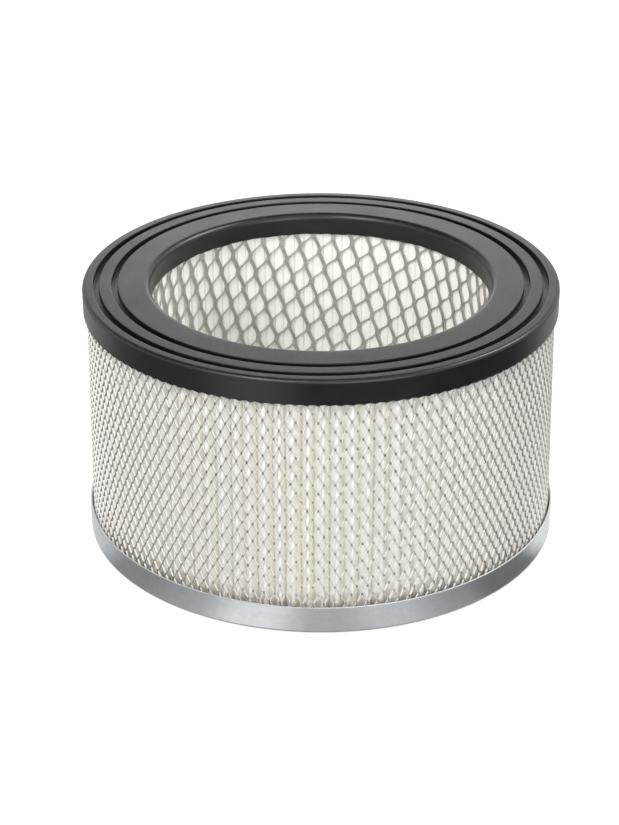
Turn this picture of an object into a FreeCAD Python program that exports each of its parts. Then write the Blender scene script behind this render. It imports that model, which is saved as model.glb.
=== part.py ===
import FreeCAD, Part
import math
import os

# Cartridge filter: a grooved seal cap, a ring of paper pleats between expanded-metal
# cylinders, and a shallow sheet-steel pan. Millimetres, +Z up, origin at the centre of
# the pan's underside.

# Whole cartridge
total_height = 89.5
cap_diameter = 160.0
bore_diameter = 114.4

# Rounded corners are made of short flats, none longer than this
corner_flat = 1.1

# Seal cap
outer_skirt_height = 8.4
inner_skirt_height = 7.6
outer_skirt_wall = 1.2
inner_skirt_wall = 0.7
web_thickness = 4.2
edge_radius = 0.9
lip_radius = 2.0
rim_width = 3.6
groove_width = 2.1
groove_depth = 2.0
ring_width = 4.1

# Bottom pan
pan_overhang = 1.3
pan_height = 9.5
pan_sheet = 0.6
pan_inner_bend = 0.3

# Adhesive bed in the pan
potting_depth = 3.0
potting_margin = 1.5

# Expanded-metal cylinders
guard_sheet = 0.5
guard_strand = 1.2
guard_columns = 20
guard_levels = 4
core_sheet = 0.8
core_strand = 1.6
core_columns = 18
core_levels = 4
mesh_overlap = 1.0

# Pleated paper
pleat_count = 104
paper_thickness = 0.5
fold_wall = 0.9

# Clearances
channel_clearance = 0.05
media_clearance = 0.15
pan_clearance = 0.5

# Worked out from the sizes above
cap_radius = cap_diameter / 2
bore_radius = bore_diameter / 2
pan_diameter = cap_diameter + 2 * pan_overhang
pan_radius = pan_diameter / 2
pan_inner_radius = pan_radius - pan_sheet
channel_ceiling = total_height - web_thickness
outer_skirt_bottom = total_height - outer_skirt_height
inner_skirt_bottom = total_height - inner_skirt_height
potting_top = pan_sheet + potting_depth

# Cylinders are many-sided: radii below are to their corners
guard_sides = 2 * guard_columns
guard_wall = guard_sheet / math.cos(math.pi / guard_sides)
guard_skirt_radius = cap_radius - outer_skirt_wall - channel_clearance
guard_bottom_radius = pan_inner_radius - pan_clearance
guard_taper = (guard_bottom_radius - guard_skirt_radius) / (outer_skirt_bottom - potting_top)
guard_top_radius = guard_bottom_radius - guard_taper * (channel_ceiling - potting_top)
core_sides = 2 * core_columns
core_inner_flat = bore_radius + inner_skirt_wall + channel_clearance
core_radius = (core_inner_flat + core_sheet) / math.cos(math.pi / core_sides)
core_wall = core_sheet / math.cos(math.pi / core_sides)

# The pleats fill the room between the cylinders
guard_inner_flat = (guard_top_radius - guard_wall) * math.cos(math.pi / guard_sides)
media_outer_radius = guard_inner_flat - media_clearance
media_inner_radius = core_radius + media_clearance


def polar(radius, angle, height):
    """Point at a radius and an angle in radians, at a height."""
    return FreeCAD.Vector(radius * math.cos(angle), radius * math.sin(angle), height)


def section_point(radius, height):
    """Point of a turned section, in the plane of the X and Z axes."""
    return FreeCAD.Vector(radius, 0, height)


def rounded_corner(radius, height, corner_radius, first, last):
    """Section points along an arc about a centre, from one angle to another in degrees."""
    arc_length = corner_radius * math.radians(abs(last - first))
    flats = math.ceil(arc_length / corner_flat)
    step = (last - first) / flats
    points = []
    for index in range(flats + 1):
        angle = math.radians(first + index * step)
        points.append(section_point(
            radius + corner_radius * math.cos(angle), height + corner_radius * math.sin(angle)))
    return points


def turned(points):
    """Solid turned about the Z axis from the corners of a closed section."""
    face = Part.Face(Part.makePolygon(points + points[:1]))
    return face.revolve(FreeCAD.Vector(0, 0, 0), FreeCAD.Vector(0, 0, 1), 360)


def seal_cap():
    """Moulded ring with a grooved top face, a rounded lip and a channel underneath."""
    top = total_height
    groove_floor = top - groove_depth
    first_outer = cap_radius - rim_width
    first_inner = first_outer - groove_width
    second_outer = first_inner - ring_width
    second_inner = second_outer - groove_width
    lip = rounded_corner(bore_radius + lip_radius, top - lip_radius, lip_radius, 180, 90)
    rim = rounded_corner(cap_radius - edge_radius, top - edge_radius, edge_radius, 90, 0)
    grooves = [
        section_point(second_inner, top),
        section_point(second_inner, groove_floor),
        section_point(second_outer, groove_floor),
        section_point(second_outer, top),
        section_point(first_inner, top),
        section_point(first_inner, groove_floor),
        section_point(first_outer, groove_floor),
        section_point(first_outer, top),
    ]
    underside = [
        section_point(cap_radius, outer_skirt_bottom),
        section_point(cap_radius - outer_skirt_wall, outer_skirt_bottom),
        section_point(cap_radius - outer_skirt_wall, channel_ceiling),
        section_point(bore_radius + inner_skirt_wall, channel_ceiling),
        section_point(bore_radius + inner_skirt_wall, inner_skirt_bottom),
        section_point(bore_radius, inner_skirt_bottom),
    ]
    return turned(lip + grooves + rim + underside)


def bottom_pan():
    """Pressed sheet pan: a flat floor, a small bend and an upright rim."""
    bend = pan_inner_bend + pan_sheet
    bend_radius = pan_radius - bend
    outside = rounded_corner(bend_radius, bend, bend, 270, 360)
    inside = rounded_corner(bend_radius, bend, pan_inner_bend, 360, 270)
    rim = [section_point(pan_radius, pan_height), section_point(pan_inner_radius, pan_height)]
    middle = [section_point(0, pan_sheet), section_point(0, 0)]
    return turned(outside + rim + inside + middle)


def many_sided_ring(radius, sides, height):
    """Closed outline of a regular polygon with its first corner on the X axis."""
    step = 2 * math.pi / sides
    points = [polar(radius, index * step, height) for index in range(sides)]
    return Part.makePolygon(points + points[:1])


def many_sided_solid(bottom_radius, top_radius, sides, low, high):
    """Upright solid with flat sides, between two heights."""
    ends = [many_sided_ring(bottom_radius, sides, low), many_sided_ring(top_radius, sides, high)]
    return Part.makeLoft(ends, True, True)


def many_sided_tube(bottom_radius, top_radius, wall, sides):
    """Tube with flat sides, from the adhesive bed up to the ceiling of the cap's channel."""
    outside = many_sided_solid(bottom_radius, top_radius, sides, potting_top, channel_ceiling)
    inside = many_sided_solid(bottom_radius - wall, top_radius - wall, sides, potting_top, channel_ceiling)
    return outside.cut(inside)


def bottom_potting():
    """Flat ring of adhesive on the pan's floor, clear of the pan's bend."""
    outer = pan_inner_radius - pan_inner_bend
    inner = core_inner_flat - potting_margin
    disc = many_sided_solid(outer, outer, guard_sides, pan_sheet, potting_top)
    return disc.cut(many_sided_solid(inner, inner, guard_sides, pan_sheet, potting_top))


def diamond_openings(radius, columns, levels, strand, low, high):
    """Staggered diamonds between two heights, with half diamonds along both ends.

    Each opening is the lattice's diamond drawn in by half a strand on every side, cut
    straight through one wall.
    """
    lattice_width = radius * math.sin(math.pi / columns)
    lattice_height = (high - low) / levels
    edge_distance = lattice_width * lattice_height / math.hypot(lattice_width, lattice_height)
    share = 1 - strand / 2 / edge_distance
    width = lattice_width * share
    height = lattice_height * share
    inside = radius - lattice_width
    reach = FreeCAD.Vector(2 * lattice_width, 0, 0)
    openings = []
    for level in range(levels + 1):
        middle = low + level * lattice_height
        corners = [FreeCAD.Vector(inside, -width, middle)]
        if level > 0:
            corners.append(FreeCAD.Vector(inside, 0, middle - height))
        corners.append(FreeCAD.Vector(inside, width, middle))
        if level < levels:
            corners.append(FreeCAD.Vector(inside, 0, middle + height))
        prism = Part.Face(Part.makePolygon(corners + corners[:1])).extrude(reach)
        stagger = 0.5 * (level % 2)
        for column in range(columns):
            opening = prism.copy()
            turn = 360 / columns * (column + stagger)
            opening.rotate(FreeCAD.Vector(0, 0, 0), FreeCAD.Vector(0, 0, 1), turn)
            openings.append(opening)
    return openings


def outer_guard():
    """Expanded-metal cylinder that widens a little from the cap down to the pan."""
    tube = many_sided_tube(guard_bottom_radius, guard_top_radius, guard_wall, guard_sides)
    low = pan_height - mesh_overlap
    high = outer_skirt_bottom + mesh_overlap
    middle_radius = (guard_bottom_radius + guard_top_radius) / 2
    return tube.cut(diamond_openings(middle_radius, guard_columns, guard_levels, guard_strand, low, high))


def inner_core():
    """Straight expanded-metal cylinder that carries the pleats from inside."""
    tube = many_sided_tube(core_radius, core_radius, core_wall, core_sides)
    low = potting_top + mesh_overlap
    high = inner_skirt_bottom + mesh_overlap
    return tube.cut(diamond_openings(core_radius, core_columns, core_levels, core_strand, low, high))


def pleated_media():
    """One folded strip: flat crests inside and outside, sharp valleys between them."""
    pitch = 2 * math.pi / pleat_count
    outer_half = paper_thickness / media_outer_radius
    inner_half = paper_thickness / media_inner_radius
    outer_points = []
    inner_points = []
    for pleat in range(pleat_count):
        crest = pleat * pitch
        valley = crest + pitch / 2
        outer_points.append(polar(media_outer_radius, crest - outer_half, potting_top))
        outer_points.append(polar(media_outer_radius, crest + outer_half, potting_top))
        outer_points.append(polar(media_inner_radius + fold_wall, valley, potting_top))
        inner_points.append(polar(media_outer_radius - fold_wall, crest, potting_top))
        inner_points.append(polar(media_inner_radius, valley - inner_half, potting_top))
        inner_points.append(polar(media_inner_radius, valley + inner_half, potting_top))
    outside = Part.makePolygon(outer_points + outer_points[:1])
    inside = Part.makePolygon(inner_points + inner_points[:1])
    section = Part.Face(outside).cut(Part.Face(inside))
    return section.extrude(FreeCAD.Vector(0, 0, channel_ceiling - potting_top))


def main():
    os.makedirs("parts", exist_ok=True)
    pieces = {
        "top_seal_cap": seal_cap(),
        "outer_guard": outer_guard(),
        "pleated_media": pleated_media(),
        "inner_core": inner_core(),
        "bottom_pan": bottom_pan(),
        "bottom_potting": bottom_potting(),
    }
    for node, shape in pieces.items():
        shape.exportStep("parts/" + node + ".step")


main()
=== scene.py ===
import math

import bmesh
import bpy
import numpy as np
from mathutils import Matrix, Vector, noise


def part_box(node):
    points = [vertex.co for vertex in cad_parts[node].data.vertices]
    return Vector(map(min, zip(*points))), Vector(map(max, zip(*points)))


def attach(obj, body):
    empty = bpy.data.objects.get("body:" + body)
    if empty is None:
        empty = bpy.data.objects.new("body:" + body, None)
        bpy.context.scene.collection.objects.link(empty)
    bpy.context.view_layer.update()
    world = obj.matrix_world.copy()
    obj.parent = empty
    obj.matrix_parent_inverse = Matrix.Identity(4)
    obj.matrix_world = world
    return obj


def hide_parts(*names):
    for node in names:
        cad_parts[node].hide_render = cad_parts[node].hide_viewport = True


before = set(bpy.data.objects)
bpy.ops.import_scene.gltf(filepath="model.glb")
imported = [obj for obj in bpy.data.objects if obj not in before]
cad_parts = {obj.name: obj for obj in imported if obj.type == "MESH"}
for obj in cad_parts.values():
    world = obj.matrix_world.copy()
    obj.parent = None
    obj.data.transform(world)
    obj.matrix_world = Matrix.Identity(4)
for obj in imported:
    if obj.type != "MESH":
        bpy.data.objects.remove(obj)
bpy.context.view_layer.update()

bl_info = {
    "name": "Cartridge Filter",
    "version": (1, 0, 0),
    "blender": (4, 5, 0),
    "location": "View3D > Sidebar > Filter",
    "description": "Builds the pieces, finishes and studio of a round cartridge filter",
    "category": "Object",
}

BODY = "root"
IMAGE_SIZE = (619, 825)

# Grey cards that reflections see: angles from the camera's left to its right, in degrees,
# and the card's level there
NEAR_CARD = (
    (-100, 0.85), (-70, 0.85), (-60, 0.36), (-48, 0.36), (-38, 0.50), (-30, 0.64), (-22, 1.20), (-12, 1.20),
    (-3, 0.64), (6, 0.62), (14, 0.84), (21, 0.84), (31, 0.50), (39, 0.40), (46, 0.20), (63, 0.22),
    (72, 1.15), (100, 1.15),
)
FAR_CARD = (
    (-120, 0.80), (-106, 0.70), (-90, 0.26), (-50, 0.24), (-36, 1.15), (-20, 1.15), (-6, 0.06), (12, 0.06),
    (20, 0.16), (44, 0.12), (52, 0.00), (88, 0.00), (106, 0.50), (120, 0.70),
)
MIDDLE_CARD = (
    (-120, 0.34), (-80, 0.34), (-60, 0.22), (-36, 0.30), (-24, 0.50), (-12, 0.92), (8, 1.00), (25, 0.92),
    (45, 0.86), (120, 0.86),
)
OVERHEAD_CARD = ((80, 0.02), (280, 0.02))

# Each card's name, inner and outer radius, stops and height
CARDS = (
    ("overhead_card", (0.0, 2.25), OVERHEAD_CARD, 1.3),
    ("near_card", (0.0815, 0.12), NEAR_CARD, 0.0004),
    ("middle_card", (0.12, 0.18), MIDDLE_CARD, 0.0004),
    ("far_card", (0.18, 0.7), FAR_CARD, 0.0004),
)
CARD_STEPS = 120

# Each lamp's name, place, size and power setting, and whether it shows as a highlight
LAMPS = (
    ("key_lamp", (-0.575, -0.955, 1.0), 0.6, "key_power", True),
    ("fill_lamp", (0.5, -1.2, 0.35), 0.9, "fill_power", True),
    ("back_lamp", (0.0, 1.7, 0.40), 0.8, "back_power", True),
    ("side_lamp", (0.9, 0.4, 1.1), 0.6, "side_power", True),
    ("rear_lamp", (-0.2, 0.75, 1.25), 0.6, "rear_power", False),
)
CAMERA_AIM = (-0.003944, 0, 0.038248)

# The floor's glow to the eye, and the part of it that reflections see
FLOOR_GLOW = 0.72
FLOOR_GLOW_REFLECTED = 0.25

# Starts of the random draws, so that each run is the same
STRAY_SEED = 7
FOLD_SEED = 7
CAP_EDGE_SEED = 3
RIM_SEED = 11
BED_EDGE_SEED = 5
BED_TOP_SEED = 6

# Way from a rounding to the extra point on the flat beside it, as a share of its radius
SHOULDER = 0.35

# Scale of the random field around and along the expanded metal
FIELD_AROUND = 40
FIELD_ALONG = 700

# Paper folds: most stray as a share of their spacing, deepest sink of a crest in metres, sway
# along the height as a share of the spacing and its turns, share of the stray that a crest
# takes, effect of the sway on the sink, and points and roundness of the folds
MOST_STRAY = 0.14
DEEPEST_SINK = 0.0003
SWAY = 0.04
SWAY_TURNS = 2.2
CREST_STRAY = 0.4
SINK_SWAY = 10
CREST_POINTS = 5
INNER_FOLD_POINTS = 8
INNER_FOLD_DEPTH = 0.1

cap_low, cap_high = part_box("top_seal_cap")
guard_low, guard_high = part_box("outer_guard")
media_low, media_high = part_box("pleated_media")
core_low, core_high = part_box("inner_core")
pan_low, pan_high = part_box("bottom_pan")
bed_low, bed_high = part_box("bottom_potting")


# Properties

def length(name, description, default):
    """Property for a length in metres."""
    return bpy.props.FloatProperty(
        name=name, description=description, default=default, min=0.0, precision=5, unit="LENGTH")


def turn(name, description, default):
    """Property for an angle in radians."""
    return bpy.props.FloatProperty(
        name=name, description=description, default=default, precision=4, unit="ROTATION")


def share(name, description, default):
    """Property for a plain factor."""
    return bpy.props.FloatProperty(name=name, description=description, default=default, precision=3)


def number(name, description, default):
    """Property for a count."""
    return bpy.props.IntProperty(name=name, description=description, default=default, min=1)


def colour(name, description, default):
    """Property for a surface colour."""
    return bpy.props.FloatVectorProperty(
        name=name, description=description, default=default, size=3, min=0.0, max=1.0, subtype="COLOR")


class SealCapSettings(bpy.types.PropertyGroup):
    """Sizes and finish of the moulded seal cap."""
    outer_radius: length("Outer radius", "Radius of the skirt's outside", cap_high.x)
    bore_radius: length("Bore radius", "Radius of the wide opening", 0.0572)
    top: length("Top", "Height of the sealing face", cap_high.z)
    skirt_height: length("Skirt height", "Height of the outer skirt", cap_high.z - cap_low.z)
    skirt_wall: length("Skirt wall", "Thickness of the outer skirt", 0.0012)
    bore_wall_height: length("Bore wall height", "Height of the wall around the bore", 0.0076)
    bore_wall: length("Bore wall", "Thickness of the wall around the bore", 0.0007)
    web: length("Web", "Thickness between the sealing face and the channel", 0.0042)
    lip_radius: length("Lip radius", "Rounding of the bore's upper edge", 0.0020)
    edge_radius: length("Edge radius", "Rounding of the outer upper edge", 0.0012)
    rim_width: length("Rim width", "From the outside to the first groove", 0.0036)
    groove_width: length("Groove width", "Width of both grooves", 0.0021)
    groove_depth: length("Groove depth", "Depth of both grooves", 0.0020)
    ring_width: length("Ring width", "Ridge between the grooves", 0.0041)
    scallop: length("Scallop", "Rise of the skirt's lower edge between strand ends", 0.0005)
    segments_per_scallop: number("Segments", "Mesh steps for each scallop", 6)
    shade: colour("Colour", "Colour of the moulding", (0.0045, 0.0045, 0.0047))


class OuterGuardSettings(bpy.types.PropertyGroup):
    """Sizes and finish of the fine expanded-metal cylinder."""
    columns: number("Columns", "Diamonds around the cylinder", 143)
    diamond_height: length("Diamond height", "Long way of one diamond", 0.00612)
    strand: length("Strand", "Width of one strand", 0.00036)
    bond: length("Bond", "Height of the joint between strands", 0.0004)
    depth: length("Depth", "Thickness of the opened sheet", 0.0006)
    tilt: share("Tilt", "Lean of the strands across the sheet, in metres", -0.00025)
    top_radius: length("Top radius", "Outside radius in the cap's channel", 0.07868)
    bottom_radius: length("Bottom radius", "Outside radius in the pan", guard_high.x)
    phase: turn("Phase", "Turn of the pattern about the axis", 0.0340)
    row_phase: length("Row phase", "Height of one row of joints", 0.0744)
    shade: colour("Colour", "Colour of the zinc", (0.62, 0.608, 0.578))
    # The pale colour on upward strand edges is partly dust and partly painted light from above.
    dust_shade: colour("Dust", "Colour of the paper dust on upper edges", (0.86, 0.852, 0.832))
    # Colour of the painted shade on strand edges that face down and at the joints.
    under_shade: colour("Under", "Colour of the dull lower edges and joints", (0.145, 0.142, 0.134))


class PleatSettings(bpy.types.PropertyGroup):
    """Sizes and finish of the folded paper."""
    count: number("Pleats", "Folds around the ring", 104)
    outer_radius: length("Outer radius", "Radius over the outer folds", media_high.x)
    inner_radius: length("Inner radius", "Radius inside the inner folds", 0.05912)
    crest: length("Crest", "Rounding of an outer fold", 0.0005)
    notch: length("Notch", "Depth at which neighbouring folds meet", 0.0015)
    gap: length("Gap", "Room between folds where they meet", 0.00002)
    flare: length("Flare", "Widening of the outer folds down to the pan", 0.0010)
    thickness: length("Thickness", "Thickness of the paper", 0.0004)
    lean: turn("Lean", "Turn of the outer folds against the inner ones", 0.02)
    unevenness: share("Unevenness", "Stray of the folds as a share of their spacing", 0.07)
    levels: number("Levels", "Mesh steps along the height", 12)
    shade: colour("Colour", "Colour of the paper", (0.94, 0.928, 0.89))
    fold_shade: colour("Mottle", "Colour of the darker fibres", (0.905, 0.888, 0.84))
    # Colour of the painted shade on each fold's second flank.
    flank_shade: colour("Flank", "Colour of each fold's second flank", (0.825, 0.795, 0.715))
    # Painted shade in the valleys between the outer folds; the same brown darkens the paper near its lower
    # edge.
    valley_shade: colour(
        "Valleys", "Colour in the valleys and along the glued lower edge", (0.56, 0.50, 0.40))


class InnerCoreSettings(bpy.types.PropertyGroup):
    """Sizes and finish of the coarse expanded-metal cylinder."""
    steps_down: number("Falling strands", "Diamonds round the cylinder along the falling strands", 57)
    steps_up: number("Rising strands", "Diamonds round the cylinder along the rising strands", 42)
    fall: length("Fall", "Drop along one falling strand", 0.00506)
    run: length("Run", "Way around along one falling strand", 0.00505)
    strand: length("Strand", "Width of one strand", 0.00066)
    bond: length("Bond", "Length of the joint between strands", 0.0024)
    depth: length("Depth", "Thickness of the opened sheet", 0.0005)
    tilt: share("Tilt", "Lean of the strands across the sheet, in metres", -0.0001)
    radius: length("Radius", "Outside radius of the cylinder", 0.05885)
    falling_share: share("Falling share", "Opening left across the falling strands", 1.048)
    rising_share: share("Rising share", "Opening left across the rising strands", 0.922)
    phase: turn("Phase", "Turn of the pattern about the axis", 3.1366)
    row_phase: length("Row phase", "Height of one row of joints", 0.04908)
    shade: colour("Colour", "Colour of the dull zinc", (0.54, 0.54, 0.50))


class BottomPanSettings(bpy.types.PropertyGroup):
    """Sizes and finish of the pressed pan."""
    radius: length("Radius", "Radius of the rim's outside", pan_high.x)
    height: length("Height", "Height of the rim", pan_high.z)
    sheet: length("Sheet", "Thickness of the steel sheet", 0.0006)
    bend: length("Bend", "Outside radius of the bottom bend", 0.0009)
    waviness: length("Waviness", "Stray of the rim from a true circle", 0.00008)
    shade: colour("Colour", "Colour of the galvanised steel", (0.548, 0.57, 0.588))


class AdhesiveBedSettings(bpy.types.PropertyGroup):
    """Sizes and finish of the adhesive in the pan."""
    outer_radius: length("Outer radius", "Outside of the bed", bed_high.x)
    inner_radius: length("Inner radius", "Inside of the bed", 0.05645)
    top: length("Top", "Height of the bed's surface", bed_high.z)
    shade: colour("Colour", "Colour of the cured adhesive", (0.74, 0.69, 0.56))


class StudioSettings(bpy.types.PropertyGroup):
    """Camera, lamps and floor."""
    camera_distance: length("Camera distance", "From the pan's middle to the camera", 0.72242)
    camera_height: turn("Camera elevation", "Angle of the camera above the floor", math.radians(29.6091))
    camera_roll: turn("Camera roll", "Turn of the camera about its view", math.radians(-0.1747))
    focal_pixels: share("Focal length", "Focal length in pixels of the picture", 2025.254)
    key_power: share("Key lamp", "Power of the lamp above the camera's left, in watts", 10.5)
    fill_power: share("Fill lamp", "Power of the low lamp beside the camera, in watts", 6.0)
    back_power: share("Back lamp", "Power of the low lamp behind, in watts", 2.0)
    side_power: share("Side lamp", "Power of the high lamp at the camera's right, in watts", 12.0)
    rear_power: share("Rear lamp", "Power of the high lamp behind the filter, in watts", 12.0)
    sky: share("Sky", "Level of the even light around the filter", 1.0)
    floor_shade: colour("Floor", "Colour of the floor", (0.26, 0.26, 0.26))


class FilterSettings(bpy.types.PropertyGroup):
    """All settings of the filter."""
    cap: bpy.props.PointerProperty(type=SealCapSettings)
    guard: bpy.props.PointerProperty(type=OuterGuardSettings)
    pleats: bpy.props.PointerProperty(type=PleatSettings)
    core: bpy.props.PointerProperty(type=InnerCoreSettings)
    pan: bpy.props.PointerProperty(type=BottomPanSettings)
    bed: bpy.props.PointerProperty(type=AdhesiveBedSettings)
    studio: bpy.props.PointerProperty(type=StudioSettings)


# Mesh helpers

def around(radius, angle, height):
    """Points about the axis. Angle 0 faces the camera and grows to its right."""
    return np.stack([radius * np.sin(angle), -radius * np.cos(angle), height + 0 * angle], axis=-1)


def add_piece(name, points, faces, material, node, sharp_degrees):
    """Object made of points and faces that stands for a CAD node and rides with it."""
    mesh = bpy.data.meshes.new(name)
    mesh.from_pydata(points, [], faces)
    if mesh.validate():
        raise RuntimeError(name + " has broken faces")
    mesh.shade_smooth()
    mesh.set_sharp_from_angle(angle=math.radians(sharp_degrees))
    mesh.materials.append(material)
    piece = bpy.data.objects.new(name, mesh)
    bpy.context.scene.collection.objects.link(piece)
    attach(piece, BODY)
    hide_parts(node)


def rounded(corners):
    """Section points of a closed outline whose corners carry a radius and a step count.

    Each rounding has a point a little way before and behind it, so that the flats beside
    it stay flat under smooth shading.
    """
    points = []
    total = len(corners)
    for index, (radius, height, rounding, steps) in enumerate(corners):
        here = np.array([radius, height])
        if rounding == 0:
            points.append(here)
            continue
        before = np.array(corners[index - 1][:2]) - here
        after = np.array(corners[(index + 1) % total][:2]) - here
        before = before / np.linalg.norm(before)
        after = after / np.linalg.norm(after)
        half = math.acos(float(np.clip(before @ after, -1, 1))) / 2
        back = rounding / math.tan(half)
        middle = here + (before + after) / np.linalg.norm(before + after) * rounding / math.sin(half)
        first = here + before * back
        last = here + after * back
        points.append(first + before * rounding * SHOULDER)
        start = math.atan2(*(first - middle)[::-1])
        sweep = math.atan2(*(last - middle)[::-1]) - start
        sweep = (sweep + math.pi) % (2 * math.pi) - math.pi
        for step in range(steps + 1):
            angle = start + sweep * step / steps
            points.append(middle + rounding * np.array([math.cos(angle), math.sin(angle)]))
        points.append(last + after * rounding * SHOULDER)
    return np.array(points)


def turned(section, segments, closed, ripple=None):
    """Points and faces of a section turned about the axis.

    An open section starts and ends beside the axis, and both ends are closed there.
    The ripple gives each point's change of radius and height.
    """
    rows = len(section)
    angle = np.linspace(0, 2 * np.pi, segments, endpoint=False)[None, :]
    radius = np.repeat(section[:, :1], segments, axis=1)
    height = np.repeat(section[:, 1:], segments, axis=1)
    if ripple:
        out, up = ripple(angle, radius, height)
        radius = radius + out
        height = height + up
    points = around(radius, np.repeat(angle, rows, axis=0), height).reshape(-1, 3).tolist()
    faces = []
    for row in range(rows if closed else rows - 1):
        low = row * segments
        high = (row + 1) % rows * segments
        for step in range(segments):
            ahead = (step + 1) % segments
            faces.append((low + step, low + ahead, high + ahead, high + step))
    if not closed:
        last = (rows - 1) * segments
        points.append((0, 0, float(height[0].mean())))
        points.append((0, 0, float(height[-1].mean())))
        for step in range(segments):
            ahead = (step + 1) % segments
            faces.append((len(points) - 2, ahead, step))
            faces.append((last + step, last + ahead, len(points) - 1))
    return points, faces


def waves(angle, seed, counts, sizes):
    """Smooth wave around the axis from a few whole periods with seeded starts."""
    starts = np.random.default_rng(seed).uniform(0, 2 * np.pi, len(counts))
    return sum(size * np.cos(count * angle + start) for count, size, start in zip(counts, sizes, starts))


# Expanded metal

def opening_outline(half_width, half_length, waist, bends, sweep):
    """Outline of one diamond opening, from its right waist over the top, as (across, along)."""
    side = [(half_width, waist)]
    for bend in range(1, bends + 1):
        part = bend / (bends + 1)
        curve = (1 + math.cos(math.pi * part)) / 2
        side.append((half_width * ((1 - sweep) * (1 - part) + sweep * curve),
                     waist + (half_length - waist) * part))
    upper = side + [(0.0, half_length)] + [(-across, along) for across, along in reversed(side)]
    return upper + [(-across, -along) for across, along in upper]


def expanded_metal(settings, closure, falls, runs, radius_at, mean_radius, waist, shares, bends, sweep,
                   low, high, stray):
    """Points and faces of an expanded-metal cylinder.

    The diamonds lie on a grid of two strand directions, one falling and one rising to the
    right, which closes on itself around the cylinder. Each opening is a loop of points on
    the outer and on the inner face; strands and joints span between neighbouring loops.
    The shares draw the openings in or out along the falling and the rising strands.
    """
    across_step = np.array([runs[0] + runs[1], falls[0] + falls[1]])
    along_step = np.array([runs[1] - runs[0], falls[1] - falls[0]])
    width = np.linalg.norm(across_step)
    reach = np.linalg.norm(along_step)
    across_way = across_step / width
    along_way = along_step / reach
    half_width = width / 2 - settings.strand
    half_length = reach / 2 - settings.bond / 2
    outline = np.array(opening_outline(half_width, half_length, waist, bends, sweep))
    lean = settings.tilt * outline[:, 0] / half_width / 2
    strands = np.array([[runs[0], falls[0]], [runs[1], falls[1]]])
    plane = outline @ np.array([across_way, along_way])
    plane = (plane @ np.linalg.inv(strands) * np.array(shares)) @ strands
    ring = len(outline)
    start = {}
    points = []
    noise.seed_set(STRAY_SEED)
    for m in range(closure[0]):
        base = settings.row_phase + m * falls[0]
        first = math.floor((low - reach - base) / falls[1])
        last = math.ceil((high + reach - base) / falls[1])
        for n in range(first, last + 1):
            centre = np.array([m * runs[0] + n * runs[1], base + n * falls[1]]) + across_step / 2
            angle = settings.phase + centre[0] / mean_radius
            seat = Vector((
                math.sin(angle) * FIELD_AROUND, math.cos(angle) * FIELD_AROUND, centre[1] * FIELD_ALONG))
            shift = noise.noise_vector(seat)
            flat = plane + stray * np.array([shift.x, shift.y])
            turns = angle + flat[:, 0] / mean_radius
            heights = centre[1] + flat[:, 1]
            outside = radius_at(heights) + lean
            start[m, n] = len(points)
            points.extend(around(outside, turns, heights).tolist())
            points.extend(around(outside - settings.depth, turns, heights).tolist())

    def loop(m, n):
        if m >= closure[0]:
            m, n = m - closure[0], n - closure[1]
        if m < 0:
            m, n = m + closure[0], n + closure[1]
        return start.get((m, n))

    top = bends + 1
    left_up, left_down = 2 * bends + 2, 2 * bends + 3
    bottom, right_down = 3 * bends + 4, 4 * bends + 5
    faces = []

    def both_sides(corners):
        faces.append(tuple(corners))
        faces.append(tuple(corner + ring for corner in reversed(corners)))

    for (m, n), here in start.items():
        for step in range(ring):
            ahead = (step + 1) % ring
            faces.append((here + step, here + ahead, here + ahead + ring, here + step + ring))
        upper_right, upper_left = loop(m, n + 1), loop(m - 1, n)
        right, lower_right = loop(m + 1, n + 1), loop(m + 1, n)
        for step in range(bends + 1):
            if upper_right is not None:
                both_sides([here + step, upper_right + bottom - step,
                            upper_right + bottom - step - 1, here + step + 1])
            if upper_left is not None:
                both_sides([here + top + step, upper_left + right_down - step,
                            upper_left + right_down - step - 1, here + top + step + 1])
        if None not in (upper_right, right, lower_right):
            both_sides([here + right_down, right + left_down, right + left_up, here])
            both_sides([here, right + left_up, upper_right + bottom])
            both_sides([here + right_down, lower_right + top, right + left_down])
    return points, faces


def trimmed(points, faces, low, high):
    """Points and faces between two heights, with the cut strands closed."""
    mesh = bmesh.new()
    corners = [mesh.verts.new(point) for point in points]
    for face in faces:
        mesh.faces.new([corners[corner] for corner in face])
    for height, way in ((low, -1), (high, 1)):
        bmesh.ops.bisect_plane(
            mesh, geom=mesh.verts[:] + mesh.edges[:] + mesh.faces[:], dist=1e-7,
            plane_co=(0, 0, height), plane_no=(0, 0, way), clear_outer=True)
    bmesh.ops.holes_fill(mesh, edges=[edge for edge in mesh.edges if edge.is_boundary], sides=0)
    mesh.verts.index_update()
    kept = [tuple(vert.co) for vert in mesh.verts]
    spans = [tuple(vert.index for vert in face.verts) for face in mesh.faces]
    mesh.free()
    return kept, spans


# Folded paper

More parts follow.
